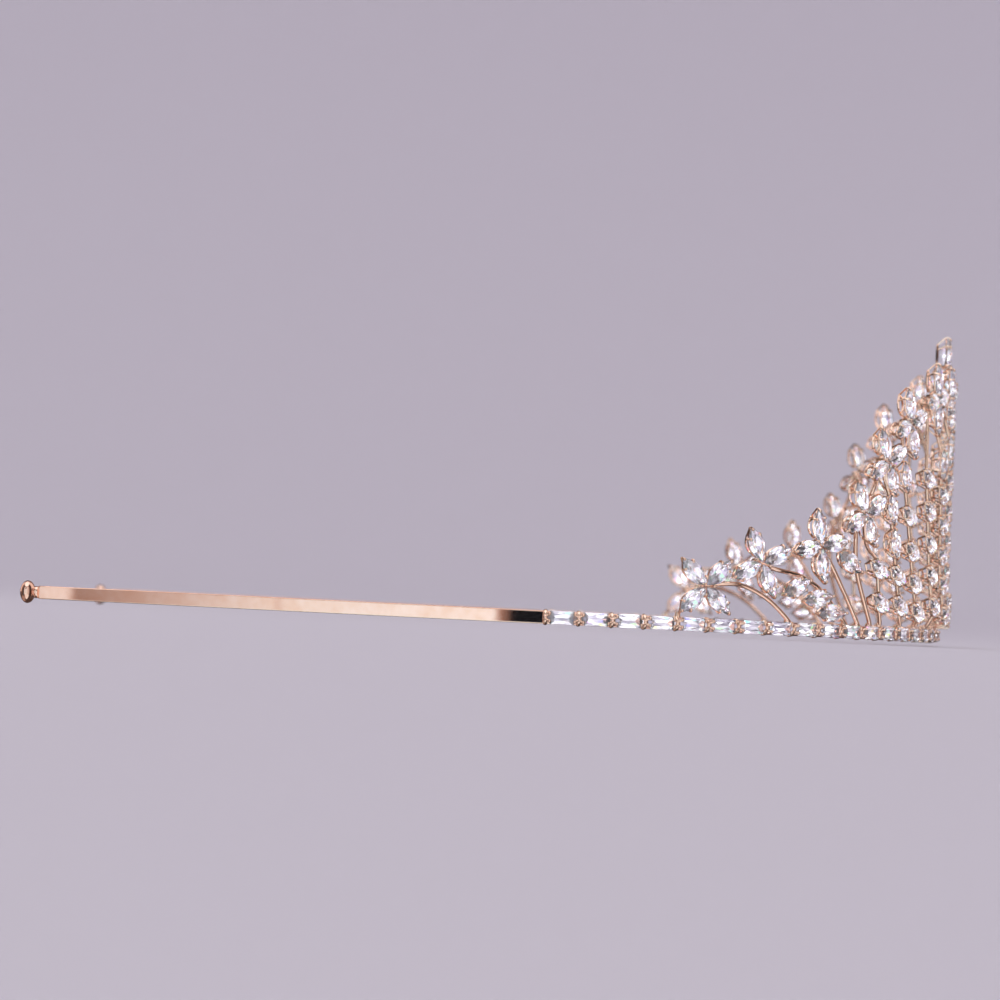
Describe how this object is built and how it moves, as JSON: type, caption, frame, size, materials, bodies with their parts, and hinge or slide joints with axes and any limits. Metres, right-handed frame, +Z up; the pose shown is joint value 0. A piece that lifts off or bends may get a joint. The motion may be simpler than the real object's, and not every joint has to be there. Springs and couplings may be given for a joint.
{
  "type": "bridal tiara",
  "caption": "Rose-gold bridal tiara: an open sprung headband with a baguette row and a crest of marquise-stone flowers on wire sprays and stone columns.",
  "frame": {"origin": "middle of the front, on the underside of the base rail", "axes": "-Y towards the front of the tiara, +Y towards the open back, +X to the wearer's left, +Z up"},
  "size_m": [0.1412, 0.1591, 0.0551],
  "materials": {
    "rose_gold": "polished",
    "crystal": "faceted, polished"
  },
  "bodies": {
    "front": {"base_rail": "rose_gold", "spray_centre": "rose_gold", "spray_1_left": "rose_gold", "spray_2_left": "rose_gold", "spray_3_left": "rose_gold", "spray_4_left": "rose_gold", "spray_5_left": "rose_gold", "spray_6_left": "rose_gold", "spray_7_left": "rose_gold", "spray_8_left": "rose_gold", "spray_1_right": "rose_gold", "spray_2_right": "rose_gold", "spray_3_right": "rose_gold", "spray_4_right": "rose_gold", "spray_5_right": "rose_gold", "spray_6_right": "rose_gold", "spray_7_right": "rose_gold", "spray_8_right": "rose_gold", "base_stone_centre": "crystal", "flower_stones_centre": "crystal", "column_stones_centre": "crystal", "base_stones_left": "crystal", "flower_stones_1_left": "crystal", "flower_stones_2_left": "crystal", "flower_stones_3_left": "crystal", "flower_stones_4_left": "crystal", "flower_stones_5_left": "crystal", "flower_stones_6_left": "crystal", "flower_stones_7_left": "crystal", "flower_stones_8_left": "crystal", "leaf_stones_2_left": "crystal", "leaf_stones_4_left": "crystal", "column_stones_5a_left": "crystal", "column_stones_5b_left": "crystal", "column_stones_6_left": "crystal", "column_stones_7a_left": "crystal", "column_stones_7b_left": "crystal", "column_stones_8_left": "crystal", "base_stones_right": "crystal", "flower_stones_1_right": "crystal", "flower_stones_2_right": "crystal", "flower_stones_3_right": "crystal", "flower_stones_4_right": "crystal", "flower_stones_5_right": "crystal", "flower_stones_6_right": "crystal", "flower_stones_7_right": "crystal", "flower_stones_8_right": "crystal", "leaf_stones_2_right": "crystal", "leaf_stones_4_right": "crystal", "column_stones_5a_right": "crystal", "column_stones_5b_right": "crystal", "column_stones_6_right": "crystal", "column_stones_7a_right": "crystal", "column_stones_7b_right": "crystal", "column_stones_8_right": "crystal"},
    "arm_left": {"arm_left": "rose_gold", "ball_tip_left": "rose_gold"},
    "arm_right": {"arm_right": "rose_gold", "ball_tip_right": "rose_gold"}
  },
  "joints": [
    {"name": "arm_flex_left", "type": "hinge", "parent": "front", "child": "arm_left", "pos_m": [0.0686, 0.0682, 0.0011], "axis": [0, 0, -1], "range_deg": [-3, 8], "stiffness_Nm_per_rad": 0.05},
    {"name": "arm_flex_right", "type": "hinge", "parent": "front", "child": "arm_right", "pos_m": [-0.0686, 0.0682, 0.0011], "axis": [0, 0, 1], "range_deg": [-3, 8], "stiffness_Nm_per_rad": 0.05}
  ]
}
